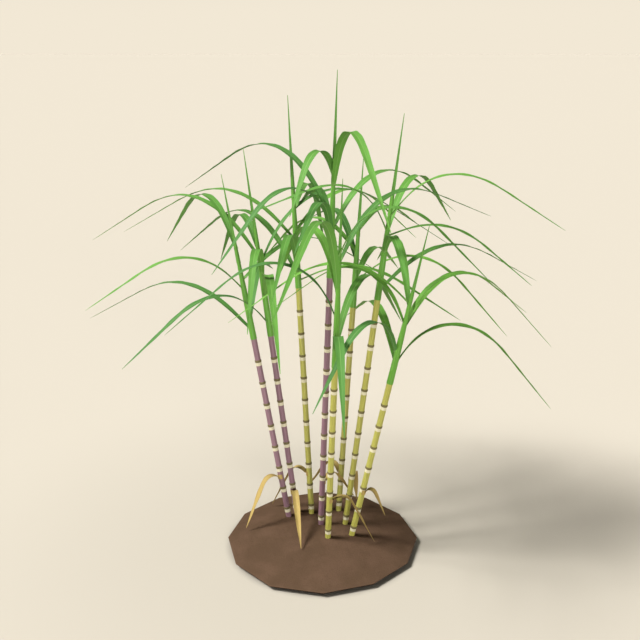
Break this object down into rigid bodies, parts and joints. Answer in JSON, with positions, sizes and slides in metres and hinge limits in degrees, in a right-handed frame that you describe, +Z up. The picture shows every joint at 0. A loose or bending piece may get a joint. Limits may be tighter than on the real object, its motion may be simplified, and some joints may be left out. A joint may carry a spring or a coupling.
{
  "type": "sugarcane clump",
  "caption": "Clump of leaning, jointed sugarcane stalks with arching strap leaves and upright spear tips, standing in a low round mound of soil.",
  "frame": {"origin": "middle of the mound's flat underside", "axes": "+Z up the stalks; the picture looks along +Y with +X to its right"},
  "size_m": [2.6134, 2.7927, 2.4122],
  "materials": {
    "soil": "matt packed earth",
    "cane_purple": "waxy satin",
    "cane_yellow": "waxy satin",
    "leaf_green": "satin leaf",
    "straw": "dry matt straw"
  },
  "bodies": {
    "root": {"soil": "soil", "cane_1": "cane_purple", "crown_1": "leaf_green", "dry_leaf_1": "straw", "cane_2": "cane_purple", "crown_2": "leaf_green", "dry_leaf_2": "straw", "cane_3": "cane_yellow", "crown_3": "leaf_green", "dry_leaf_3": "straw", "cane_4": "cane_purple", "crown_4": "leaf_green", "dry_leaf_4": "straw", "cane_5": "cane_yellow", "crown_5": "leaf_green", "dry_leaf_5": "straw", "cane_6": "cane_yellow", "crown_6": "leaf_green", "dry_leaf_6": "straw", "cane_7": "cane_yellow", "crown_7": "leaf_green", "dry_leaf_7": "straw", "cane_8": "cane_yellow", "crown_8": "leaf_green", "dry_leaf_8": "straw"}
  },
  "joints": []
}
